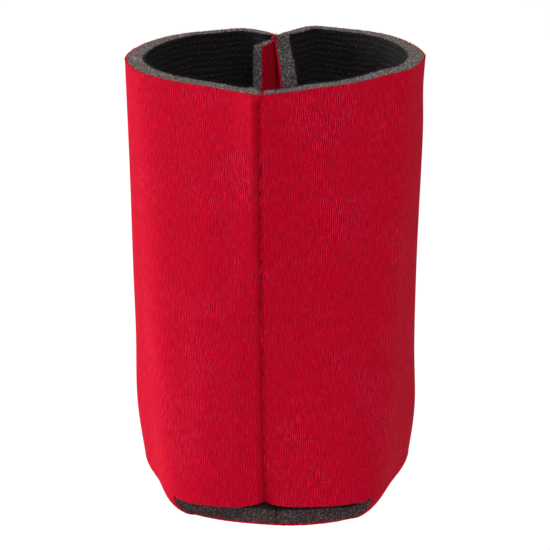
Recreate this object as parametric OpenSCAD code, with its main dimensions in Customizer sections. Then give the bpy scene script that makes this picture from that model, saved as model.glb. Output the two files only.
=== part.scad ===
/* [Body] */
// Height of the sleeve, from the floor's underside to the rim
body_h = 104.4; // [90:0.1:130]
// Outer width of the mouth, across the two side panels
mouth_w = 71; // [66:0.5:78]
// Width of a side panel, between its two vertical fold lines
side_w = 16; // [12:1:20]
// Angle in plan between a side panel and the panels beside it
open_angle = 54; // [50:1:58]
// Outward bow of the two front panels
front_bow = 1.5; // [0:0.5:3]
// Outward bow of the two rear panels
rear_bow = 7.5; // [5:0.5:8]

/* [Laminate] */
// Thickness of the knitted outer fabric
fabric_t = 0.5; // [0.3:0.1:0.6]
// Thickness of the foam core
foam_t = 3.6; // [3:0.1:3.8]
// Thickness of the brushed lining
lining_t = 0.5; // [0.3:0.1:0.6]

/* [Seams] */
// Distance from the side panels' centre line out to the front seam
front_reach = 33.8; // [33:0.1:35]
// Distance from the side panels' centre line out to the rear seam
rear_reach = 25; // [24:0.5:27]
// Length of laminate turned inward at each seam
seam_allowance = 11; // [10:0.5:12]
// Diameter of the sewing thread
thread_d = 0.4; // [0.3:0.05:0.5]

/* [Floor] */
// Depth of the floor, front to back
floor_depth = 66; // [56:1:68]
// Width of the strip that bends along the floor's middle crease
crease_w = 17; // [16.5:0.5:20]

/* [Folds] */
// Gap between neighbouring panels at a fold line or a slit
fold_gap = 0.3; // [0.2:0.05:0.4]
// Gap between a panel's end and the seam piece that it swings on
swing_gap = 0.8; // [0.8:0.1:1.2]

/* [Hidden] */
sides = ["left", "right"];
ends = ["front", "rear"];
layers = ["fabric", "foam", "lining"];

arc_steps = 12;
oval_steps = 60;
wall_t = fabric_t + foam_t + lining_t;
layer_start = [0, fabric_t, fabric_t + foam_t];
layer_end = [fabric_t, fabric_t + foam_t, wall_t];
layer_colour = [[0.78, 0.06, 0.18], [0.42, 0.41, 0.39], [0.06, 0.05, 0.05]];

// Fold lines in plan: the side ones run up the outer face, the seam ones up the inner face.
side_fold_x = mouth_w / 2;
side_fold_y = side_w / 2;
seam_fold_x = wall_t + fold_gap;
panel_l = (side_fold_x - seam_fold_x - wall_t * cos(open_angle)) / sin(open_angle);
seam_fold_y = side_fold_y - wall_t * sin(open_angle) + panel_l * cos(open_angle);
bow_scale = 27 / 4;

// The side panels' centre line stands behind the middle of the sleeve's depth.
rear_lobe_reach = max([for (p = panel_curve(0, rear_bow)) p[1]]);
centre_y = (front_reach - rear_lobe_reach) / 2;
wall_z = wall_t + fold_gap;

// Outward bow, and its slope, at a fraction q of the panel's length.
function bow_at(q, bow) = bow_scale * bow * q * q * (1 - q);
function bow_slope(q, bow) = bow_scale * bow * (2 * q - 3 * q * q) / panel_l;
function unit(v) = v / norm(v);

// A panel's own axes: u runs from the side fold towards the seam, v runs inward.
// One quarter of the plan has x across, and y out from the side panels' centre line.
function to_plan(p) = [
  side_fold_x - p[0] * sin(open_angle) - p[1] * cos(open_angle),
  side_fold_y + p[0] * cos(open_angle) - p[1] * sin(open_angle),
];
function tangent(q, bow) = unit([1, -bow_slope(q, bow)]);
function inward(q, bow) = unit([bow_slope(q, bow), 1]);
function panel_point(q, depth, bow) =
  [q * panel_l, -bow_at(q, bow)] + depth * inward(q, bow);
function mitre_u(depth) = depth * tan(open_angle / 2) + fold_gap / 2 / cos(open_angle / 2);

// The face of a panel at one depth in the laminate, from its side fold to its seam end.
function panel_curve(depth, bow) = [
  to_plan([mitre_u(depth), depth]),
  for (i = [2:arc_steps]) to_plan(panel_point(i / arc_steps, depth, bow)),
];

// The face of a seam piece: from the panel's end, round the seam, and along the flap.
// The two halves of the seam stand twice clear apart.
function seam_curve(depth, bow, reach, clear) =
  let (
    start = to_plan(panel_point(1, depth, bow) + swing_gap * tangent(1, bow)),
    shoulder = to_plan([panel_l, 0]),
    slope = (shoulder[1] - reach) / shoulder[0]
  ) [
    start,
    [max(depth, clear), reach + slope * depth - depth * sqrt(1 + slope * slope)],
    [max(depth, clear), reach - seam_allowance],
  ];

function reversed(points) = [for (i = [len(points) - 1:-1:0]) points[i]];
function band(outer, inner) = concat(outer, reversed(inner));

// Places a quarter's shape: x is -1 for the left and 1 for the right, y is -1 for the front.
module quarter(x, y) {
  translate([0, centre_y, 0]) mirror([1 - x, 0, 0]) mirror([0, 1 - y, 0]) children();
}

// What the bottom fold's mitre takes off a side panel (below it) or off the floor (above it).
module fold_wedge(x, below) {
  size = 3 * wall_t;
  clear = fold_gap / sqrt(2) * (below ? 1 : -1);
  corner_x = side_fold_x + (below ? -size : size);
  corner_z = below ? -size : size;
  mirror([1 - x, 0, 0])
    rotate([90, 0, 0])
      linear_extrude(4 * body_h, center = true)
        polygon([
          [side_fold_x + size, clear - size],
          [side_fold_x - size, clear + size],
          [corner_x, clear + corner_z],
        ]);
}

// Upright strip of a side panel, mitred at both side folds and at the bottom fold.
module side_panel(x, layer) {
  a = layer_start[layer];
  b = layer_end[layer];
  color(layer_colour[layer])
    difference() {
      translate([0, centre_y, 0])
        mirror([1 - x, 0, 0])
          linear_extrude(body_h)
            polygon([
              [side_fold_x - a, side_fold_y - mitre_u(a)],
              [side_fold_x - b, side_fold_y - mitre_u(b)],
              [side_fold_x - b, mitre_u(b) - side_fold_y],
              [side_fold_x - a, mitre_u(a) - side_fold_y],
            ]);
      fold_wedge(x, true);
    }
}

// Front or rear panel of one side, standing just above the floor.
module wall_panel(x, y, layer) {
  bow = y < 0 ? front_bow : rear_bow;
  color(layer_colour[layer])
    quarter(x, y)
      translate([0, 0, wall_z])
        linear_extrude(body_h - wall_z)
          polygon(band(
            panel_curve(layer_start[layer], bow),
            panel_curve(layer_end[layer], bow)
          ));
}

// Half of a seam: the shoulder beside the panel and the flap turned inward.
module seam_flap(x, y, layer) {
  bow = y < 0 ? front_bow : rear_bow;
  reach = y < 0 ? front_reach : rear_reach;
  clear = y < 0 ? 0 : fold_gap / 2;
  color(layer_colour[layer])
    quarter(x, y)
      translate([0, 0, wall_z])
        linear_extrude(body_h - wall_z)
          polygon(band(
            seam_curve(layer_start[layer], bow, reach, clear),
            seam_curve(layer_end[layer], bow, reach, clear)
          ));
}

// Thread along a seam's stitch line, pressed a little into the lining of one flap.
module seam_thread(x, y) {
  bow = y < 0 ? front_bow : rear_bow;
  reach = y < 0 ? front_reach : rear_reach;
  corner = seam_curve(wall_t, bow, reach, 0)[1];
  end_margin = 2;
  color([0.6, 0.05, 0.12])
    quarter(x, y)
      translate([corner[0] - thread_d / 4, corner[1] - thread_d, wall_z + end_margin])
        cylinder(h = body_h - wall_z - 2 * end_margin, d = thread_d, $fn = 24);
}

// Right half of the sleeve's outline in plan.
function half_outline() = [
  [0, centre_y - front_reach],
  for (p = reversed(panel_curve(0, front_bow))) [p[0], centre_y - p[1]],
  for (p = panel_curve(0, rear_bow)) [p[0], centre_y + p[1]],
  [0, centre_y + rear_reach],
];

// An oval that rounds the floor off at the front and the back.
function floor_oval() = [
  for (i = [0:oval_steps - 1])
    let (angle = i * 360 / oval_steps)
      [mouth_w / 2 * cos(angle), centre_y + floor_depth / 2 * sin(angle)]
];

// One layer of the floor, between two distances from the middle crease.
module floor_strip(x, layer, from_x, to_x) {
  color(layer_colour[layer])
    difference() {
      mirror([1 - x, 0, 0])
        translate([0, 0, layer_start[layer]])
          linear_extrude(layer_end[layer] - layer_start[layer])
            intersection() {
              polygon(half_outline());
              polygon(floor_oval());
              translate([from_x, -body_h]) square([to_x - from_x, 2 * body_h]);
            }
      fold_wedge(x, false);
    }
}

module floor_half(x, layer) {
  floor_strip(x, layer, crease_w / 2, mouth_w);
}

module floor_crease(x, layer) {
  floor_strip(x, layer, fold_gap / 2, crease_w / 2);
}

for (s = [0, 1]) for (l = [0, 1, 2]) {
  x = 2 * s - 1;
  side_panel(x, l);
  wall_panel(x, -1, l);
  wall_panel(x, 1, l);
  floor_half(x, l);
  floor_crease(x, l);
  seam_flap(x, -1, l);
  seam_flap(x, 1, l);
}

seam_thread(1, -1);  // front_needle_thread
seam_thread(-1, -1);  // front_bobbin_thread
seam_thread(1, 1);  // rear_needle_thread
seam_thread(-1, 1);  // rear_bobbin_thread
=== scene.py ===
import math

import bpy
import numpy as np
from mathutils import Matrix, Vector


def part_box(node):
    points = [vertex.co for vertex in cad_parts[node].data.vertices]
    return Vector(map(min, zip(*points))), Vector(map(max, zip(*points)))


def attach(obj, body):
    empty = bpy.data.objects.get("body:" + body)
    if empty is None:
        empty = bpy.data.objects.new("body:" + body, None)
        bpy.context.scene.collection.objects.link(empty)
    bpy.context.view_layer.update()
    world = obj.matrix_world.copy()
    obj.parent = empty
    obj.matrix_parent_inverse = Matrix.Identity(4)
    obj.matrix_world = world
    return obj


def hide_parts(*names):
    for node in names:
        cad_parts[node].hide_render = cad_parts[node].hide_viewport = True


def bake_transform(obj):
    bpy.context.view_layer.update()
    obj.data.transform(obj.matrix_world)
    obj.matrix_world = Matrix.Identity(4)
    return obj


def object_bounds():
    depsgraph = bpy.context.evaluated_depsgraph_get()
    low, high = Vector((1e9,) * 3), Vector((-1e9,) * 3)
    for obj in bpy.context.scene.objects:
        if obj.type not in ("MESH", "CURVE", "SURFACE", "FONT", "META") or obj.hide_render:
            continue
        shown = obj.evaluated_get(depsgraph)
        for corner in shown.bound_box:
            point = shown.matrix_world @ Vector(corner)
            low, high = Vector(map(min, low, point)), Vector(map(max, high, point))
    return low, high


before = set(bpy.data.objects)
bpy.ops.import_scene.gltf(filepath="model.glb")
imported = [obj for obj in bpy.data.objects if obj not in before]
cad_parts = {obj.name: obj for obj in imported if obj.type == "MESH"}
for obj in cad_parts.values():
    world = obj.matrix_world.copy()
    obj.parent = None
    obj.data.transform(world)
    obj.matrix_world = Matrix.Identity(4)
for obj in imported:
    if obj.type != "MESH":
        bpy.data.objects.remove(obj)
cad_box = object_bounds()
cad_high = np.array(cad_box[1])

MM = 0.001
SIDES = {"left": -1, "right": 1}

# ---------------------------------------------------------------- sizes, in metres

height = cad_high[2]
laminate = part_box("left_floor_lining")[1][2]
fabric_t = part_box("left_floor_fabric")[1][2]
lining_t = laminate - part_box("left_floor_foam")[1][2]
fabric_share = fabric_t / laminate
lining_share = lining_t / laminate

side_fold_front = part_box("left_side_fabric")[0][1]
side_fold_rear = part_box("left_side_fabric")[1][1]

# The wall's laminate turns into the floor round this radius, and the wall's grid stops above it.
fold_radius = 5.5 * MM
wall_bottom = fold_radius
# The share of its thickness that the wall keeps at that fold, and how high the pressing reaches.
fold_press = 0.76
press_reach = 4 * MM

# ---------------------------------------------------------------- the shape of the blank
#
# Each half of the sleeve is one piece of laminate, drawn in plan as a run of stations from the
# front seam, round the side, to the rear seam: one run at the rim and one at the foot. Each
# station is x, y in millimetres, and after it the laminate's thickness there.

STATIONS = {
    "right": [
        # rim x, rim y, foot x, foot y, thickness
        (-4.2, -29.8, -2.6, -29.8, 3.0),
        (-2.7, -31.3, -1.6, -31.2, 3.0),
        (0.2, -29.6, 0.3, -32.5, 3.2),
        (5.5, -26.4, 5.0, -33.4, 3.9),
        (16.7, -20.6, 16.2, -32.0, 4.1),
        (27.6, -11.9, 23.5, -26.8, 4.6),
        (32.0, -7.4, 28.3, -12.2, 4.6),
        (35.4, 4.0, 32.2, 4.0, 4.6),
        (31.3, 19.2, 28.6, 20.0, 4.2),
        (21.5, 28.9, 21.0, 28.6, 3.6),
        (10.2, 32.9, 8.8, 31.9, 3.4),
        (4.5, 29.5, 4.1, 29.3, 3.5),
        (0.2, 23.4, 0.2, 23.8, 3.5),
    ],
    "left": [
        (-4.2, -29.8, -2.6, -29.8, 3.0),
        (-5.4, -30.7, -3.8, -31.2, 3.1),
        (-7.0, -29.3, -6.2, -32.5, 3.4),
        (-10.2, -26.5, -10.6, -33.4, 4.0),
        (-18.5, -21.3, -19.0, -31.3, 4.2),
        (-28.6, -14.2, -25.3, -25.6, 4.6),
        (-33.2, -7.8, -28.5, -12.5, 4.7),
        (-35.5, 3.0, -31.7, 2.6, 4.7),
        (-31.2, 17.1, -28.6, 17.4, 4.3),
        (-22.4, 26.1, -21.0, 27.0, 3.6),
        (-11.0, 30.5, -10.4, 31.0, 3.2),
        (-4.0, 28.8, -3.9, 28.8, 3.4),
        (0.2, 23.4, 0.2, 23.8, 3.5),
    ],
}

# How each seam flap leaves the seam: the offsets in millimetres from the seam's line to the flap's
# cut end at the outer fabric, to its cut end at the lining, and to the corner where the lining
# turns back.
FLAPS = {
    ("right", "front"): {
        "rim": [(1.3, 3.8), (3.8, 4.6), (4.7, 3.8)],
        "foot": [(0.5, 6.4), (4.6, 6.4), (4.9, 2.4)],
    },
    ("left", "front"): {
        "rim": [(-0.4, 6.2), (-2.0, 7.1), (-3.4, 5.3)],
        "foot": [(-0.5, 7.4), (-4.6, 7.4), (-4.9, 2.4)],
    },
    ("right", "rear"): {
        "rim": [(0.9, -3.6), (6.3, -2.8), (1.6, -0.4)],
        "foot": [(0.9, -4.2), (6.0, -3.4), (1.7, -0.8)],
    },
    ("left", "rear"): {
        "rim": [(-3.4, -3.6), (-6.3, -2.4), (-1.2, -0.2)],
        "foot": [(-3.1, -5.6), (-6.3, -3.4), (-1.3, -0.4)],
    },
}

# How far a flap's cut end is drawn aside near the rim, at its outer fabric and at its lining, in
# millimetres.
LIPS = {
    ("right", "rear"): ((-1.5, 2.2), (-2.2, 2.4)),
    ("left", "rear"): ((0.0, 0.0), (0.3, 0.0)),
}
no_lip = ((0, 0), (0, 0))
lip_reach = 7 * MM

# The front seam is drawn aside by this much right at the rim, in millimetres.
RIM_FLARE = (1.2, -1.7)
flare_reach = 1.6 * MM

# How far below the rim a flap is cut, in millimetres: right beside its seam, and more at its end.
FLAP_DROPS = {
    ("left", "front"): (0.0, 0.3),
    ("right", "front"): (0.0, 0.3),
    ("left", "rear"): (1.1, 0.7),
    ("right", "rear"): (0.0, -0.4),
}

# The slits between floor and walls end here, front and rear.
SLIT_FRONT = {"left": -27.4 * MM, "right": -27.9 * MM}
slit_rear = 26.5 * MM
# Within this distance of the middle the rear wall bends in again to its seam, and stays cut free.
rear_seam_half = 8 * MM
# A free edge comes down to its full depth over this distance from the slit's end.
slit_ease = 2 * MM

# Fineness of the walls' lattices.
flap_columns = 14
wall_columns = 300
wall_rows = 70
foam_depths = 12
samples_per_span = 24

# The stitches pinch the foam, which has regained its thickness this far from them.
pinch_length = 9 * MM
pinch_ease = 2.4 * MM


def smoothstep(t):
    t = np.clip(t, 0, 1)
    return t * t * (3 - 2 * t)


def catmull_rom(points, per_span):
    """A smooth curve through points, with per_span samples between each pair."""
    points = np.asarray(points, float)
    padded = np.vstack([2 * points[0] - points[1], points, 2 * points[-1] - points[-2]])
    t = np.linspace(0, 1, per_span, endpoint=False)[:, None]
    spans = []
    for i in range(len(points) - 1):
        a, b, c, d = padded[i : i + 4]
        square, cube = 2 * a - 5 * b + 4 * c - d, 3 * b - a - 3 * c + d
        spans.append(0.5 * (2 * b + (c - a) * t + square * t**2 + cube * t**3))
    return np.vstack(spans + [points[-1:]])


def run_along(path):
    """The distance of each point of a path from its first, measured along the path."""
    return np.concatenate([[0], np.cumsum(np.linalg.norm(np.diff(path, axis=0), axis=1))])


def spaced_samples(curve, count):
    """Row numbers, with fractions, of count points along a curve, closer together at its ends."""
    length = run_along(curve[:, :2])
    t = np.linspace(0, 1, count)
    places = length[-1] * (t - 0.5 * np.sin(2 * math.pi * t) / (2 * math.pi))
    return np.interp(places, length, np.arange(len(curve)))


def sample(curve, rows):
    """The points of a curve at row numbers with fractions."""
    low = np.clip(np.floor(rows).astype(int), 0, len(curve) - 2)
    part = (rows - low)[:, None]
    return curve[low] * (1 - part) + curve[low + 1] * part


# The share of the walls' spread that comes just above the foot, and the height share it takes.
early_spread = 0.25
early_height = 0.12


def rim_weight(z):
    """0 at the foot and 1 at the rim: the walls spread quickly just above the foot, then evenly."""
    h = np.clip((z - wall_bottom) / (height - wall_bottom), 0, 1)
    early = (1 - np.exp(-h / early_height)) / (1 - math.exp(-1 / early_height))
    return early_spread * early + (1 - early_spread) * h


def bell(distance, spread):
    """1 at no distance, and falling away on both sides."""
    return np.exp(-((distance / spread) ** 2))


# How the sides depart from the straight line between foot and rim: height share, spread, mm.
SWELLS = {
    "left": [(0.14, 0.13, 0.95), (0.42, 0.2, 0.3)],
    "right": [(0.11, 0.11, 0.9), (0.5, 0.22, -0.35), (0.93, 0.07, -0.4)],
}


# The sides swell about this line in plan, and over this much of their depth.
swell_y = 3 * MM
swell_spread = 14 * MM


def swell(side, z):
    """How far a side bulges at height z."""
    h = (z - wall_bottom) / (height - wall_bottom)
    return sum(amount * bell(h - place, spread) for place, spread, amount in SWELLS[side]) * MM


def plan_normals(path):
    """Unit vectors to the left of a path in plan."""
    step = np.gradient(path, axis=0)
    step /= np.linalg.norm(step, axis=1)[:, None]
    return np.stack([-step[:, 1], step[:, 0]], axis=1)


def spring_back(along):
    """How far the foam has regained its thickness at a distance from the stitches that pinch it."""
    return (1 - np.exp(-along / pinch_ease)) / (1 - math.exp(-pinch_length / pinch_ease))


def pressed(z):
    """The share of its thickness that the wall keeps at height z: the fold at its foot presses it."""
    return 1 - (1 - fold_press) * math.exp(-(z - wall_bottom) / press_reach)


def half_section(side, z):
    """Outer and inner paths of one half at height z: front flap, wall, rear flap."""
    sign = SIDES[side]
    stations = np.array(STATIONS[side]) * MM
    w = rim_weight(z)
    section = stations[:, 2:4] * (1 - w) + stations[:, 0:2] * w
    section[:, 0] += sign * swell(side, z) * bell(section[:, 1] - swell_y, swell_spread)
    flare = np.array(RIM_FLARE) * bell(height - z, flare_reach) * MM
    section[0] += flare
    curve = catmull_rom(np.column_stack([section, stations[:, 4]]), samples_per_span)
    middle = catmull_rom(0.5 * (stations[:, 0:2] + stations[:, 2:4]), samples_per_span)
    wall = sample(curve, spaced_samples(middle, wall_columns))
    outer, thickness = wall[:, :2], wall[:, 2] * pressed(z)
    inner = outer + sign * plan_normals(outer) * thickness[:, None]
    run = run_along(outer)
    flaps = []
    lip = bell(height - z, lip_reach)
    for end, seam, along in (("front", outer[0], run), ("rear", outer[-1], run[-1] - run)):
        foot, rim = (np.array(FLAPS[side, end][level]) for level in ("foot", "rim"))
        offsets = foot * (1 - w) * MM + rim * w * MM
        base = seam - flare if end == "front" else seam
        cut_outer, cut_inner, corner = base + offsets
        pull_outer, pull_inner = LIPS.get((side, end), no_lip)
        cut_outer += np.array(pull_outer) * lip * MM
        cut_inner += np.array(pull_inner) * lip * MM
        near = along < pinch_length
        f = np.linspace(0, 1, flap_columns + 1)[1:, None]
        if end == "front":
            share = (along[near] / pinch_length)[:, None]
            inner[near] = corner * (1 - share) + inner[near][-1] * share
            widening = f
        else:
            share = spring_back(along[near])[:, None]
            inner[near] = (outer[near] + corner - seam) * (1 - share) + inner[near] * share
            widening = spring_back(f * np.linalg.norm(offsets[0]))
        spread = (corner - seam) * (1 - widening) + (cut_inner - cut_outer) * widening
        flap = seam + (cut_outer - seam) * f
        flaps.append((flap, flap + spread))
    front, rear = flaps
    return (
        np.vstack([front[0][::-1], outer, rear[0]]),
        np.vstack([front[1][::-1], inner, rear[1]]),
    )


# The rim's uneven cut: each wave's height in millimetres, how many go round a half, and its phase.
RIM_WAVES = [(0.12, 2.3, 0.2), (0.08, 7.1, 0.6)]
mean_rim_drop = 0.1


def rim_height(side, columns):
    """How far below the full height each column's top stands: cut a little unevenly, flaps lower."""
    t = np.linspace(0, 1, columns)
    waves = (high * np.sin(2 * math.pi * (many * t + phase)) for high, many, phase in RIM_WAVES)
    drop = mean_rim_drop - sum(waves)
    column = np.arange(columns)
    past_seam = {"front": flap_columns - column, "rear": column - (columns - 1 - flap_columns)}
    for end, past in past_seam.items():
        beside, more = FLAP_DROPS[side, end]
        drop += beside * (past > 0) + more * smoothstep(past / flap_columns)
    return drop * MM


def past_slit(side, plan):
    """How far points of the wall lie past the slits' ends, where the floor is cut free of it."""
    x, y = plan[:, 0], plan[:, 1]
    at_rear_seam = (np.abs(x) < rear_seam_half) & (y > 0)
    return np.where(at_rear_seam, slit_ease, np.maximum(SLIT_FRONT[side] - y, y - slit_rear))


# How much closer together the lattice's rows stand at the rim than evenly spaced ones, as a share.
row_crowding = 0.45
# The walls' free edges reach this far below the level of the fold.
free_edge_drop = 0.5 * MM


def wall_faces(side):
    """Outer and inner faces of one half's wall, as grids of columns by rows."""
    rising = np.linspace(0, 1, wall_rows)
    levels = rising * (1 + row_crowding - row_crowding * rising)
    outer, inner = [], []
    for level in levels:
        z = wall_bottom + (height - wall_bottom) * level
        a, b = half_section(side, z)
        outer.append(a)
        inner.append(b)
    outer, inner = (np.array(g).transpose(1, 0, 2) for g in (outer, inner))
    columns = outer.shape[0]
    top = height - rim_height(side, columns)
    bottom = wall_bottom - free_edge_drop * smoothstep(past_slit(side, outer[:, 0]) / slit_ease)
    z = bottom[:, None] + (top - bottom)[:, None] * levels[None, :]
    return np.dstack([outer, z]), np.dstack([inner, z])


# ---------------------------------------------------------------- meshes from lattices


def grid_normals(grid):
    """Unit normals of a grid of points, by the right-hand rule on its first and second axes."""
    n = np.cross(np.gradient(grid, axis=0), np.gradient(grid, axis=1))
    return n / np.maximum(np.linalg.norm(n, axis=2), 1e-12)[:, :, None]


def slab(name, lattice, uv, columns=None):
    """A closed mesh of a lattice of columns, rows and depths, or of a range of its columns.

    The normals come from the whole lattice, so two neighbouring ranges shade as one surface.
    """
    first, last = columns or (0, lattice.shape[0] - 1)
    part = lattice[first : last + 1]
    c, r, d = part.shape[:3]
    on_face = np.zeros((c, r, d), bool)
    on_face[[0, -1]] = on_face[:, [0, -1]] = on_face[:, :, [0, -1]] = True
    ids = np.full((c, r, d), -1)
    ids[on_face] = np.arange(on_face.sum())
    cut = slice(first, last + 1)
    patches = [
        (ids[:, :, 0], grid_normals(lattice[:, :, 0])[cut], True),
        (ids[:, :, -1], grid_normals(lattice[:, :, -1])[cut], False),
        (ids[:, 0, :], grid_normals(lattice[:, 0])[cut], False),
        (ids[:, -1, :], grid_normals(lattice[:, -1])[cut], True),
        (ids[0], grid_normals(part[0]), True),
        (ids[-1], grid_normals(part[-1]), False),
    ]
    faces, normals = [], []
    for index, normal, flip in patches:
        quads = np.stack([index[:-1, :-1], index[1:, :-1], index[1:, 1:], index[:-1, 1:]], axis=-1)
        corner = np.stack([normal[:-1, :-1], normal[1:, :-1], normal[1:, 1:], normal[:-1, 1:]], axis=-2)
        if flip:
            quads, corner = quads[..., ::-1], -corner[..., ::-1, :]
        faces.append(quads.reshape(-1, 4))
        normals.append(corner.reshape(-1, 3))
    faces, normals = np.vstack(faces), np.vstack(normals)
    points = part[on_face]
    if volume_of(points, faces) < 0:
        faces = faces[:, ::-1]
        normals = -normals.reshape(-1, 4, 3)[:, ::-1].reshape(-1, 3)
    piece = new_object(name, points.tolist(), faces.tolist())
    cloth = piece.data.uv_layers.new(name="cloth")
    cloth.data.foreach_set("uv", uv[cut][on_face][faces.reshape(-1)].astype(np.float32).reshape(-1))
    piece.data.normals_split_custom_set(normals.tolist())
    piece.data.update()
    return piece


def volume_of(points, faces):
    """Six times the volume that four-sided faces enclose: below zero if they face inward."""
    a, b, c, d = (points[faces[:, i]] for i in range(4))
    return float((np.cross(a, b) * c).sum() + (np.cross(a, c) * d).sum())


def new_object(name, points, faces):
    """An object in the scene, with a smooth mesh of the given points and faces."""
    mesh = bpy.data.meshes.new(name)
    mesh.from_pydata(points, [], faces)
    mesh.polygons.foreach_set("use_smooth", np.ones(len(mesh.polygons), bool))
    mesh.update()
    piece = bpy.data.objects.new(name, mesh)
    bpy.context.collection.objects.link(piece)
    return piece


# A direction that hardly any strand runs along, and how blunt a strand's tapered ends are.
STRAND_ASIDE = (0.31, 0.17, 0.93)
strand_bluntness = 0.12


def thread_mesh(name, paths, radii, sides=5):
    """One mesh of thin round strands, each along its own short path and tapered at both ends."""
    points, faces = [], []
    turn = np.linspace(0, 2 * math.pi, sides, endpoint=False)
    for path, radius in zip(paths, radii):
        path = np.asarray(path)
        step = np.gradient(path, axis=0)
        step /= np.linalg.norm(step, axis=1)[:, None]
        across = np.cross(step, STRAND_ASIDE)
        across /= np.maximum(np.linalg.norm(across, axis=1), 1e-9)[:, None]
        over = np.cross(step, across)
        taper = np.linspace(strand_bluntness, math.pi - strand_bluntness, len(path))
        width = radius * np.sqrt(np.clip(np.sin(taper), 0, 1))
        start = len(points)
        for i in range(len(path)):
            for a in turn:
                points.append(path[i] + width[i] * (math.cos(a) * across[i] + math.sin(a) * over[i]))
        for i in range(len(path) - 1):
            for k in range(sides):
                a, b = start + i * sides + k, start + i * sides + (k + 1) % sides
                faces.append((a, b, b + sides, a + sides))
        last = start + (len(path) - 1) * sides
        faces.append(tuple(start + k for k in reversed(range(sides))))
        faces.append(tuple(last + k for k in range(sides)))
    return new_object(name, [tuple(point) for point in points], faces)


# ---------------------------------------------------------------- the walls

rng = np.random.default_rng(11)


def between(outer, inner, shares):
    """The lattice of points at the given shares of the way from the outer face to the inner one."""
    shares = np.asarray(shares)[None, None, :, None]
    return outer[:, :, None] * (1 - shares) + inner[:, :, None] * shares


def cloth_uv(lattice):
    """Millimetres along the columns and up the rows, for the weave and the ribs."""
    face = lattice[:, :, 0]
    uv = np.zeros(lattice.shape[:3] + (2,))
    uv[..., 0] = run_along(face[:, -1])[:, None, None] / MM
    uv[..., 1] = run_along(face[len(face) // 2])[None, :, None] / MM
    return uv


# Where each layer's faces lie in the laminate, as shares of the way in from its outer face.
LAYERS = {
    "fabric": [0, fabric_share],
    "foam": np.linspace(fabric_share, 1 - lining_share, foam_depths),
    "lining": [1 - lining_share, 1],
}


# How uneven the cut edges are, in millimetres, and how much of that shows at the walls' foot.
WALL_ROUGHNESS = {"fabric": 0.04, "foam": 0.07, "lining": 0.07}
FLOOR_ROUGHNESS = {"fabric": 0.05, "foam": 0.12, "lining": 0.12}
foot_roughness = 0.6
# The outer fabric draws back this far below the foam at the rim.
fabric_draw_back = 0.08 * MM


def roughen_ends(lattice, amount, first_row=0):
    """Makes the cut faces at a lattice's first and last columns uneven, from one row on."""
    rows, depths = lattice.shape[1:3]
    for end, inside in ((0, 1), (-1, -2)):
        out = lattice[end] - lattice[inside]
        out /= np.maximum(np.linalg.norm(out, axis=2), 1e-9)[:, :, None]
        shift = out * rng.normal(0, amount, (rows, depths))[:, :, None]
        lattice[end, first_row:] += shift[first_row:]
    return lattice


def roughen_cut(lattice, layer):
    """Makes the cut faces of a wall's layer uneven: foam tears into pores, and cloth frays a little."""
    amount = WALL_ROUGHNESS[layer] * MM
    columns, depths = lattice.shape[0], lattice.shape[2]
    lattice[:, -1, :, 2] += rng.normal(0, amount, (columns, depths))
    if layer == "fabric":
        lattice[:, -1, :, 2] -= fabric_draw_back
    lattice[:, 0, :, 2] -= rng.normal(0, amount, (columns, depths)) * foot_roughness
    return roughen_ends(lattice, amount)


faces_of = {side: wall_faces(side) for side in SIDES}
wall = {}
for side in SIDES:
    for layer, shares in LAYERS.items():
        wall[side, layer] = roughen_cut(between(*faces_of[side], shares), layer)

columns_in_all = wall_columns + 2 * flap_columns
# The column that stands farthest out at the side, where the front and rear pieces meet.
side_column = {side: int(np.abs(faces_of[side][0][:, 0, 0]).argmax()) for side in SIDES}
# A wall piece hands over to the seam piece this far from the seam.
shoulder_mm = 14.0


def shoulder_column(side, end):
    """The column where a wall piece hands over to the seam piece."""
    run = run_along(faces_of[side][0][:, -1, :2]) / MM
    if end == "front":
        return int(np.searchsorted(run, run[flap_columns] + shoulder_mm))
    return int(np.searchsorted(run, run[-1 - flap_columns] - shoulder_mm))


SEAM_BODY = {
    ("left", "front"): "front_seam",
    ("right", "front"): "front_seam",
    ("left", "rear"): "rear_seam_left",
    ("right", "rear"): "rear_seam_right",
}


pieces = {layer: [] for layer in LAYERS}


# Fibres to a millimetre, longest fibre and its radius in millimetres.
FRINGE = {"fabric": (3.2, 0.55, 0.022), "lining": (6.0, 0.6, 0.03)}
fringe_curl = 0.12
fringes = {layer: [] for layer in FRINGE}

# The tuft of red fibre at the rear seam's top: how many, how long and how curled, in millimetres.
tuft_fibres = 160
tuft_longest = 1.1
tuft_curl = 0.3
TUFT_OFFSET = (0.3, 0.5, 0.5)


def fibre(root, aim, longest, curl):
    """The path of one loose fibre end: a little of it inside the cloth, and bent halfway."""
    aim = aim * rng.uniform(0.3, 1.0) * longest * MM / np.linalg.norm(aim)
    bend = rng.normal(0, curl * MM, 3)
    return np.array([root - 0.15 * aim, root + 0.5 * aim + bend, root + aim])


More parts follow.
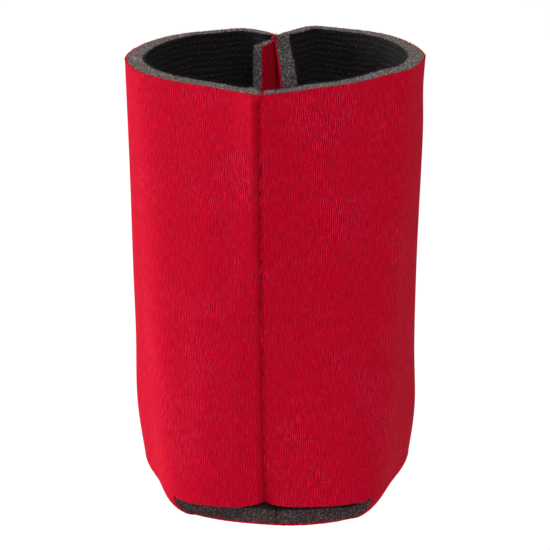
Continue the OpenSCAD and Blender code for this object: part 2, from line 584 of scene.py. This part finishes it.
def add_fringe(name, side, lattice, columns, layer, seam_end=None):
    """Loose fibre ends along a cloth layer's cut edges, and a tuft of them at the rear seam's top.

    The edges are the rim, the slits and, with seam_end, a flap's cut end. Each comes with the
    upward lean of its fibres.
    """
    per_mm, longest, radius = FRINGE[layer]
    part = lattice[columns[0] : columns[1] + 1]
    y = part[:, 0, 0, 1]
    free = (y < SLIT_FRONT[side]) | (y > slit_rear)
    edges = [(part[:, -1, depth], 0.9) for depth in (0, -1)]
    if free.sum() > 1:
        edges += [(part[free, 0, depth], -0.7) for depth in (0, -1)]
    if seam_end:
        cut_end = 0 if seam_end == "front" else -1
        edges += [(lattice[cut_end, :, depth], 0.0) for depth in (0, -1)]
    paths = []
    for edge, lean in edges:
        run = run_along(edge)
        for _ in range(int(run[-1] / MM * per_mm / 2)):
            at = rng.uniform(0, run[-1])
            root = np.array([np.interp(at, run, edge[:, i]) for i in range(3)])
            aim = rng.normal(0, 0.6, 3) + np.array([0, 0, lean])
            paths.append(fibre(root, aim, longest, fringe_curl))
    if seam_end == "rear" and layer == "fabric":
        seam_top = lattice[-1 - flap_columns, -1, 0]
        for _ in range(tuft_fibres):
            root = seam_top + rng.normal(0, 0.3 * MM, 3) - np.array(TUFT_OFFSET) * MM
            aim = rng.normal(0, 0.7, 3) + np.array([0, 0, 0.5])
            paths.append(fibre(root, aim, tuft_longest, tuft_curl))
    radii = radius * MM * rng.uniform(0.6, 1.2, len(paths))
    piece = thread_mesh(name, paths, radii, sides=4)
    fringes[layer].append(piece)
    return piece


def add_wall_piece(side, end, layer):
    """One layer of the wall from the side to a shoulder."""
    lattice = wall[side, layer]
    middle, shoulder = side_column[side], shoulder_column(side, end)
    columns = (shoulder, middle) if end == "front" else (middle, shoulder)
    piece = slab(f"{side}_{end}_wall_{layer}", lattice, cloth_uv(lattice), columns)
    going = [piece]
    if layer != "foam":
        going.append(add_fringe(f"{side}_{end}_wall_{layer}_fringe", side, lattice, columns, layer))
    for moving in going:
        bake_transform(moving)
    nodes = [f"{side}_{end}_{layer}"]
    if end == "front":
        nodes.append(f"{side}_side_{layer}")
    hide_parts(*nodes)
    pieces[layer].append(piece)


def add_seam_piece(side, end, layer):
    """One layer of the shoulder and the flap at a seam."""
    lattice = wall[side, layer]
    shoulder = shoulder_column(side, end)
    columns = (0, shoulder) if end == "front" else (shoulder, columns_in_all - 1)
    piece = slab(f"{side}_{end}_seam_{layer}", lattice, cloth_uv(lattice), columns)
    going = [piece]
    if layer != "foam":
        going.append(add_fringe(f"{side}_{end}_seam_{layer}_fringe", side, lattice, columns, layer, end))
    for moving in going:
        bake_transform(moving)
    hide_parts(f"{end}_seam_{side}_{layer}")
    pieces[layer].append(piece)


for side in SIDES:
    for end in ("front", "rear"):
        for layer in LAYERS:
            add_wall_piece(side, end, layer)
            add_seam_piece(side, end, layer)

# ---------------------------------------------------------------- the floor

# The two halves of the floor leave this much between them at the lining.
crease_gap = 0.3 * MM
# Their upper faces dip beside the crease, by this much and over this width.
crease_dip = 0.25 * MM
crease_dip_half = 1.3 * MM
# The floor's laminate is pressed by this much. From the fold, which presses it more, it comes back
# to that over this share of the way to the crease.
floor_press = 0.15 * MM
regain_share = 0.4
centre_y = 0.5 * (side_fold_front + side_fold_rear)

# The floor's cut edge is an arc at the rear. The one at the front grows wider towards the right,
# and swells a little there.
rear_radius = 30 * MM
front_radius = 34 * MM
front_widening = 1.1 * MM
widening_span = 14 * MM
front_swell = 0.3 * MM
front_swell_x = 14 * MM
front_swell_spread = 6 * MM

fold_rows = 14
floor_rows = 44


def floor_edge(x, end):
    """Where the floor's round cut edge lies at x."""
    radius = rear_radius
    if end == "front":
        radius = front_radius + front_widening * smoothstep(x / widening_span + 0.5)
        radius += front_swell * bell(x - front_swell_x, front_swell_spread)
    reach = np.sqrt(radius**2 - x**2)
    return centre_y - reach if end == "front" else centre_y + reach


def fold_columns(side):
    """Which of the wall's columns turn into the floor: those between the slits."""
    outer = faces_of[side][0][:, 0]
    column = np.arange(len(outer))
    in_wall = (column > flap_columns) & (column < columns_in_all - 1 - flap_columns)
    return in_wall & (past_slit(side, outer) < 0)


def pull_to_edge(row, folded, begin, foot):
    """Moves a row's ends onto the floor's cut edge, by the share of the fold that lies behind it."""
    v = np.linspace(0, 1, len(row))
    first, last = (begin if folded < 1 else row)[[0, -1], 0]
    front = foot[0, 1] * (1 - folded) + floor_edge(first, "front") * folded
    rear = foot[-1, 1] * (1 - folded) + floor_edge(last, "rear") * folded
    front_pull, rear_pull = front - row[0, 1], rear - row[-1, 1]
    row[:, 1] += front_pull * (1 - v) ** 3 + rear_pull * v**3


def floor_faces(side):
    """Outer and inner faces of one half's floor, from the wall's foot round to the middle crease."""
    outer, inner = (face[:, 0][fold_columns(side)] for face in faces_of[side])
    across = inner[:, :2] - outer[:, :2]
    thickness = np.linalg.norm(across, axis=1)
    inward = across / thickness[:, None]
    turn_in = 0.5 * inward + 0.5 * np.array([-SIDES[side], 0.0])
    turn_in /= np.linalg.norm(turn_in, axis=1)[:, None]
    v = np.linspace(0, 1, len(outer))
    crease_y = floor_edge(0, "front") * (1 - v) + floor_edge(0, "rear") * v
    faces = []
    for depth in (0.0, 1.0):
        radius = fold_radius - depth * thickness
        rows = []
        for angle in np.linspace(0, math.pi / 2, fold_rows):
            turn_share = math.sin(angle)
            direction = inward * (1 - turn_share) + turn_in * turn_share
            reach = fold_radius - radius * math.cos(angle)
            plan = outer[:, :2] + direction * reach[:, None]
            rows.append(np.column_stack([plan, wall_bottom - radius * math.sin(angle)]))
        begin = rows[-1]
        crease_x = np.full(len(v), SIDES[side] * depth * crease_gap / 2)
        crease = np.column_stack([crease_x, crease_y, begin[:, 2]])
        level = depth * (laminate - floor_press)
        for u in np.linspace(0, 1, floor_rows)[1:]:
            row = begin * (1 - u) + crease * u
            regained = smoothstep(u / regain_share)
            row[:, 2] = row[:, 2] * (1 - regained) + level * regained
            rows.append(row)
        for number, row in enumerate(rows):
            pull_to_edge(row, min(number / (fold_rows - 1), 1), begin, outer)
            row[:, 2] -= crease_dip * depth * bell(row[:, 0], crease_dip_half)
        faces.append(np.array(rows).transpose(1, 0, 2))
    return faces


# The fabric that turns up at the crease has this much room, and less at the cut ends.
turn_room = 0.3 * MM
turn_room_at_ends = 0.03 * MM
turn_room_ease = 2 * MM
# It ends this far below the lining, and is this share of the crease's length.
turn_below_lining = 1.5 * MM
turn_length = 0.96
turn_rows = 7


def clear_of_crease(lattice, side, first_depth):
    """Draws an edge back from the middle crease, to leave room for the fabric that turns there."""
    y = lattice[:, -1, 0, 1]
    from_cut = smoothstep(np.minimum(y - y[0], y[-1] - y) / turn_room_ease)
    room = turn_room_at_ends + (turn_room - turn_room_at_ends) * from_cut
    lattice[:, -1, first_depth:, 0] += SIDES[side] * room[:, None]
    return lattice


def turned_up(lattice):
    """The floor's fabric carried up round the middle crease, where it shows once the floor folds."""
    top = laminate - lining_t - turn_below_lining
    rows = []
    for lift in np.linspace(0, 1, turn_rows + 1)[1:]:
        row = lattice[:, -1].copy()
        row[:, :, 1] = centre_y + (row[:, :, 1] - centre_y) * turn_length
        row[:, :, 2] += (top - row[:, :, 2]) * lift
        rows.append(row)
    return np.concatenate([lattice, np.stack(rows, axis=1)], axis=1)


for side in SIDES:
    outer, inner = floor_faces(side)
    for layer, shares in LAYERS.items():
        lattice = roughen_ends(between(outer, inner, shares), FLOOR_ROUGHNESS[layer] * MM, fold_rows)
        if layer == "fabric":
            lattice = turned_up(clear_of_crease(lattice, side, 1))
        elif layer == "foam":
            lattice = clear_of_crease(lattice, side, 0)
        piece = slab(f"{side}_floor_{layer}_panel", lattice, cloth_uv(lattice))
        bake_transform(piece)
        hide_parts(f"{side}_floor_{layer}", f"{side}_crease_{layer}")
        pieces[layer].append(piece)

# ---------------------------------------------------------------- the seams' stitches

stitch_pitch = 2.6 * MM
stitch_gap = 0.35 * MM
stitch_radius = 0.17 * MM
stitch_sag = 0.12 * MM
stitch_points = 6
# The stitches keep this far from the seam's foot and from the rim.
stitch_margin = 2 * MM


def add_stitches(side, end, node):
    """A row of stitches that stands in the corner where the lining turns back along a flap."""
    body = SEAM_BODY[side, end]
    inner = faces_of[side][1]
    column = flap_columns if end == "front" else columns_in_all - 1 - flap_columns
    paths = []
    z = wall_bottom + stitch_margin
    line_z = inner[column, :, 2]
    sag = stitch_sag * np.sin(np.linspace(0, math.pi, stitch_points))
    while z + stitch_pitch < height - stitch_margin:
        steps = np.linspace(z, z + stitch_pitch - stitch_gap, stitch_points)
        x = np.interp(steps, line_z, inner[column, :, 0])
        y = np.interp(steps, line_z, inner[column, :, 1])
        y = y + (sag if end == "front" else -sag)
        paths.append(np.column_stack([x, y, steps]))
        z += stitch_pitch
    radii = [stitch_radius] * len(paths)
    piece = thread_mesh(f"{side}_{end}_seam_stitches", paths, radii, sides=8)
    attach(piece, body)
    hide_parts(node)
    return piece


stitches = []
for end in ("front", "rear"):
    for side, kind in (("right", "needle"), ("left", "bobbin")):
        stitches.append(add_stitches(side, end, f"{end}_{kind}_thread"))

# ---------------------------------------------------------------- materials


class Nodes:
    """A small helper that adds nodes to one material and links them.

    An input may be a number or another node's output, and in a mix also a colour.
    """

    def __init__(self, name):
        self.material = bpy.data.materials.new(name)
        self.material.use_nodes = True
        self.tree = self.material.node_tree
        self.shader = self.tree.nodes["Principled BSDF"]

    def add(self, kind, **values):
        node = self.tree.nodes.new(kind)
        for key, value in values.items():
            setattr(node, key, value)
        return node

    def wire(self, source, node, key):
        if isinstance(source, (int, float, tuple)):
            node.inputs[key].default_value = source
        else:
            self.tree.links.new(source, node.inputs[key])

    def math(self, operation, a, b=0.0, c=0.0):
        node = self.add("ShaderNodeMath", operation=operation)
        for key, value in enumerate((a, b, c)):
            self.wire(value, node, key)
        return node.outputs[0]

    def noise(self, vector, scale, detail=2.0, roughness=0.5):
        node = self.add("ShaderNodeTexNoise")
        self.wire(vector, node, "Vector")
        self.wire(scale, node, "Scale")
        self.wire(detail, node, "Detail")
        self.wire(roughness, node, "Roughness")
        return node.outputs[0]

    def cells(self, vector, scale):
        node = self.add("ShaderNodeTexVoronoi")
        self.wire(vector, node, "Vector")
        self.wire(scale, node, "Scale")
        return node.outputs["Distance"]

    def ramp(self, factor, *stops):
        node = self.add("ShaderNodeValToRGB")
        self.wire(factor, node, "Fac")
        while len(node.color_ramp.elements) < len(stops):
            node.color_ramp.elements.new(1.0)
        for element, (place, colour) in zip(node.color_ramp.elements, stops):
            element.position = place
            element.color = (*colour, 1)
        return node.outputs["Color"]

    def mix(self, factor, a, b, blend="MIX"):
        node = self.add("ShaderNodeMix", data_type="RGBA", blend_type=blend)
        self.wire(factor, node, 0)
        for key, value in ((6, a), (7, b)):
            self.wire((*value, 1) if isinstance(value, tuple) else value, node, key)
        return node.outputs[2]

    def bump(self, height_socket, strength, distance):
        node = self.add("ShaderNodeBump")
        self.wire(height_socket, node, "Height")
        self.wire(strength, node, "Strength")
        self.wire(distance, node, "Distance")
        self.tree.links.new(node.outputs["Normal"], self.shader.inputs["Normal"])

    def finish(
        self, colour, roughness, sheen=0.0, sheen_colour=(1, 1, 1), sheen_roughness=0.5, specular=0.3
    ):
        self.wire(colour, self.shader, "Base Color")
        self.wire(roughness, self.shader, "Roughness")
        self.shader.inputs["Specular IOR Level"].default_value = specular
        self.shader.inputs["Sheen Weight"].default_value = sheen
        self.shader.inputs["Sheen Tint"].default_value = (*sheen_colour, 1)
        self.shader.inputs["Sheen Roughness"].default_value = sheen_roughness
        return self.material

    def cloth(self):
        """The cloth's own coordinates in millimetres: across, up."""
        node = self.add("ShaderNodeUVMap", uv_map="cloth")
        split = self.add("ShaderNodeSeparateXYZ")
        self.tree.links.new(node.outputs[0], split.inputs[0])
        return split.outputs[0], split.outputs[1]

    def stretched(self, across, up, per_mm_across, per_mm_up):
        """Cloth coordinates scaled apart, so that a noise on them runs in streaks."""
        node = self.add("ShaderNodeCombineXYZ")
        self.wire(self.math("MULTIPLY", across, per_mm_across), node, 0)
        self.wire(self.math("MULTIPLY", up, per_mm_up), node, 1)
        return node.outputs[0]

    def place(self):
        """The point in the object, in metres."""
        return self.add("ShaderNodeTexCoord").outputs["Object"]


# The width of a column of stitches (a wale) and the height of a row of them (a course).
WALE_MM = 0.53
COURSE_MM = 0.42


def knit_material():
    """Red jersey: wandering columns of small V stitches, with fuzz and bright loose fibre ends."""
    n = Nodes("red_jersey_knit")
    place = n.place()
    across, up = n.cloth()

    # Upright streaks, and the wales, which wander a little from side to side.
    streak = n.noise(n.stretched(across, up, 3.1, 0.45), 1.0, 2.0, 0.5)
    wander = n.math("MULTIPLY_ADD", n.noise(n.stretched(across, up, 0.35, 0.35), 1.0, 3.0), 1.5, -0.75)
    wale = n.math("FRACT", n.math("DIVIDE", n.math("ADD", across, wander), WALE_MM))

    # In each wale the stitches stand as arches whose two legs rise from the middle.
    arch = n.math("SINE", n.math("MULTIPLY", wale, math.pi))
    fold = n.math("ABSOLUTE", n.math("MULTIPLY_ADD", wale, 2.0, -1.0))
    phase = n.math("ADD", n.math("DIVIDE", up, COURSE_MM), n.math("MULTIPLY", fold, 0.9))
    leg = n.math("MULTIPLY_ADD", n.math("SINE", n.math("MULTIPLY", phase, 2 * math.pi)), 0.5, 0.5)
    stitch = n.math("MULTIPLY", arch, n.math("MULTIPLY_ADD", leg, 0.4, 0.6))

    # The pattern is clear in some patches and blurred by fuzz in others.
    fibre = n.noise(place, 5200.0, 4.0, 0.65)
    patch = n.noise(place, 70.0, 3.0, 0.55)
    clear = n.math("MULTIPLY_ADD", patch, 3.0, -1.0)
    clear = n.math("MINIMUM", n.math("MAXIMUM", clear, 0.5), 1.0)
    raised = n.math("MULTIPLY_ADD", stitch, 0.9, -0.42)
    level = n.math("MULTIPLY_ADD", n.math("ADD", streak, -0.5), 1.15, raised)
    level = n.math("MULTIPLY_ADD", level, clear, 0.5)
    base = n.ramp(
        level,
        (0.12, (0.23, 0.0003, 0.007)),
        (0.42, (0.40, 0.0008, 0.013)),
        (0.60, (0.50, 0.0016, 0.019)),
        (0.92, (0.78, 0.0110, 0.055)),
    )

    # Loose fibre ends catch the light.
    end = n.noise(n.stretched(across, up, 2.6, 1.7), 1.0, 2.0, 0.6)
    speck = n.math("MULTIPLY", n.math("GREATER_THAN", end, 0.66), clear)
    base = n.mix(n.math("MULTIPLY", speck, 0.55), base, (0.85, 0.06, 0.12))
    relief = n.math("ADD", n.math("MULTIPLY", level, 1.3), n.math("MULTIPLY", fibre, 0.4))
    n.bump(relief, 0.6, 0.2 * MM)
    pink = (1.0, 0.3, 0.38)
    return n.finish(base, 0.92, sheen=0.016, sheen_colour=pink, sheen_roughness=0.35, specular=0.03)


# The depth below the rim over which the foam's edge is rubbed.
rubbed_depth = 0.6 * MM


def foam_material(name, tint, rim_tint):
    """Cut open-cell foam: dark pores, bright specks, and another tint where the rim is rubbed."""
    n = Nodes(name)
    place = n.place()
    pores = n.cells(place, 2300.0)
    grain = n.noise(place, 2900.0, 3.0, 0.7)
    fine = n.noise(place, 7000.0, 2.0, 0.6)
    level = n.math("ADD", n.math("MULTIPLY", pores, 0.55), n.math("MULTIPLY", grain, 0.6))
    colour = n.ramp(
        level,
        (0.30, (0.022, 0.020, 0.019)),
        (0.48, (0.085, 0.080, 0.075)),
        (0.62, (0.16, 0.153, 0.145)),
        (0.80, (0.34, 0.33, 0.31)),
    )
    split = n.add("ShaderNodeSeparateXYZ")
    n.wire(place, split, 0)
    rubbed = n.math("GREATER_THAN", split.outputs[2], float(height) - rubbed_depth)
    colour = n.mix(1.0, colour, n.mix(rubbed, tint, rim_tint), "MULTIPLY")
    n.bump(n.math("ADD", level, n.math("MULTIPLY", fine, 0.4)), 0.8, 0.3 * MM)
    return n.finish(colour, 0.95, specular=0.1)


# The height from one rib of the lining to the next.
RIB_MM = 1.45


def lining_material():
    """Black brushed knit: a nap of fine fibres, faint uneven ribs round the sleeve, a few flecks."""
    n = Nodes("black_brushed_lining")
    place = n.place()
    across, up = n.cloth()
    sway = n.math("MULTIPLY_ADD", n.noise(n.stretched(across, up, 0.12, 0.3), 1.0, 3.0), 1.8, -0.9)
    rib = n.math("SINE", n.math("MULTIPLY", n.math("ADD", up, sway), 2 * math.pi / RIB_MM))
    rib = n.math("MULTIPLY_ADD", rib, 0.5, 0.5)
    nap = n.noise(n.stretched(across, up, 1.6, 3.2), 1.0, 4.0, 0.7)
    patch = n.noise(place, 130.0, 2.0, 0.6)
    level = n.math("MULTIPLY_ADD", n.math("MULTIPLY", rib, patch), 0.15, n.math("MULTIPLY", nap, 0.9))
    colour = n.ramp(
        level,
        (0.34, (0.0034, 0.0027, 0.0028)),
        (0.50, (0.011, 0.0088, 0.0092)),
        (0.68, (0.050, 0.044, 0.045)),
    )
    fleck = n.math("GREATER_THAN", n.noise(place, 2100.0, 2.0, 0.6), 0.73)
    colour = n.mix(n.math("MULTIPLY", fleck, 0.6), colour, (0.10, 0.095, 0.095))
    n.bump(level, 0.8, 0.4 * MM)
    grey = (0.6, 0.6, 0.62)
    return n.finish(colour, 1.0, sheen=0.04, sheen_colour=grey, sheen_roughness=0.6, specular=0.03)


def thread_material():
    """Red sewing thread, with the light and dark of its twist."""
    n = Nodes("red_thread")
    twist = n.noise(n.place(), 4000.0, 2.0)
    colour = n.mix(twist, (0.18, 0.002, 0.01), (0.42, 0.008, 0.04))
    n.bump(twist, 0.5, 0.1 * MM)
    return n.finish(colour, 0.6, sheen=0.1)


GREY_FOAM = (0.8, 0.76, 0.75)
RUBBED_FOAM = (0.84, 0.74, 0.75)
# The same foam painted darker for the floor's cut edges: painted shade, for the shadow they lie in under
# the walls' lower edge.
SHADED_FOAM_TINT = (0.40, 0.27, 0.29)
materials = {
    "fabric": knit_material(),
    "foam": foam_material("grey_cut_foam", GREY_FOAM, RUBBED_FOAM),
    "floor_foam": foam_material("shaded_cut_foam", SHADED_FOAM_TINT, SHADED_FOAM_TINT),
    "lining": lining_material(),
}

for layer, group in pieces.items():
    for piece in group:
        # The floor's foam pieces take the darker copy of the foam, which is painted shade.
        key = "floor_foam" if layer == "foam" and "floor" in piece.name else layer
        piece.data.materials.append(materials[key])

FIBRE_COLOURS = {"fabric": (0.62, 0.05, 0.09), "lining": (0.045, 0.04, 0.042)}
for layer, group in fringes.items():
    n = Nodes(f"{layer}_fibres")
    tint = n.noise(n.place(), 900.0)
    darker = tuple(0.5 * channel for channel in FIBRE_COLOURS[layer])
    fibres = n.finish(n.mix(tint, darker, FIBRE_COLOURS[layer]), 0.8, specular=0.1)
    for piece in group:
        piece.data.materials.append(fibres)

thread = thread_material()
for piece in stitches:
    piece.data.materials.append(thread)

# ---------------------------------------------------------------- stage, light and camera

# The stage lies just below the lowest reach of the floor's halves, which hang down once folded.
stage_size = 6.0
stage_z = -cad_high[0] - 3 * MM
bpy.ops.mesh.primitive_plane_add(size=stage_size, location=(0, 0, stage_z))
stage = bpy.context.object
stage.name = "studio_floor"
paper = bpy.data.materials.new("studio_paper")
paper.use_nodes = True
PAPER = {
    "Base Color": (0.12, 0.12, 0.12, 1),
    "Roughness": 0.9,
    "Emission Color": (1, 1, 1, 1),
    "Emission Strength": 0.9,
}
for key, value in PAPER.items():
    paper.node_tree.nodes["Principled BSDF"].inputs[key].default_value = value
stage.data.materials.append(paper)

world = bpy.data.worlds.new("studio")
world.use_nodes = True
world.node_tree.nodes["Background"].inputs["Color"].default_value = (1, 1, 1, 1)
world.node_tree.nodes["Background"].inputs["Strength"].default_value = 0.22
bpy.context.scene.world = world
bpy.context.scene.view_settings.view_transform = "Standard"


def add_light(name, kind, place, target, power, **settings):
    """A light of the given power in watts that stands at one place and points at another."""
    data = bpy.data.lights.new(name, kind)
    data.energy = power
    for key, value in settings.items():
        setattr(data, key, value)
    light = bpy.data.objects.new(name, data)
    bpy.context.collection.objects.link(light)
    light.location = place
    direction = Vector(np.array(target) - np.array(place))
    light.rotation_euler = direction.to_track_quat("-Z", "Y").to_euler()


middle = (0.0, 0.0, 0.5 * height)
add_light("key", "AREA", (-0.9, 0.29, 0.38), middle, 11.6, size=0.45)
add_light("front", "AREA", (0.1, -0.6, 0.8), middle, 4.6, size=0.4)
add_light("edge", "AREA", (0.8, 0.5, 0.3), middle, 0.5, size=0.3)
add_light("overhead", "AREA", (-0.5, 0.1, 0.8), middle, 1.9, size=0.6)

# A narrow soft light on the lower left of the front.
lower_left = (-0.017, -0.03, 0.012)
spot = {"spot_size": math.radians(9), "spot_blend": 1.0, "shadow_soft_size": 0.03}
add_light("low", "SPOT", (-0.35, -0.5, 0.25), lower_left, 2.2, **spot)

# The camera stands 0.8 m from the middle of the sleeve and looks down at 18.5 degrees.
camera_distance = 0.8
camera_elevation = math.radians(18.5)
camera_offset_y = -2.9 * MM
camera_data = bpy.data.cameras.new("camera")
camera_data.sensor_width = 36.0
camera_data.lens = 219.4
camera_data.clip_start = 0.05
camera_data.shift_x = -0.00182
camera = bpy.data.objects.new("camera", camera_data)
bpy.context.collection.objects.link(camera)
camera.location = (
    0.0,
    camera_offset_y - camera_distance * math.cos(camera_elevation),
    0.5 * height + camera_distance * math.sin(camera_elevation),
)
camera.rotation_euler = (math.pi / 2 - camera_elevation, 0.0, 0.0)
bpy.context.scene.camera = camera
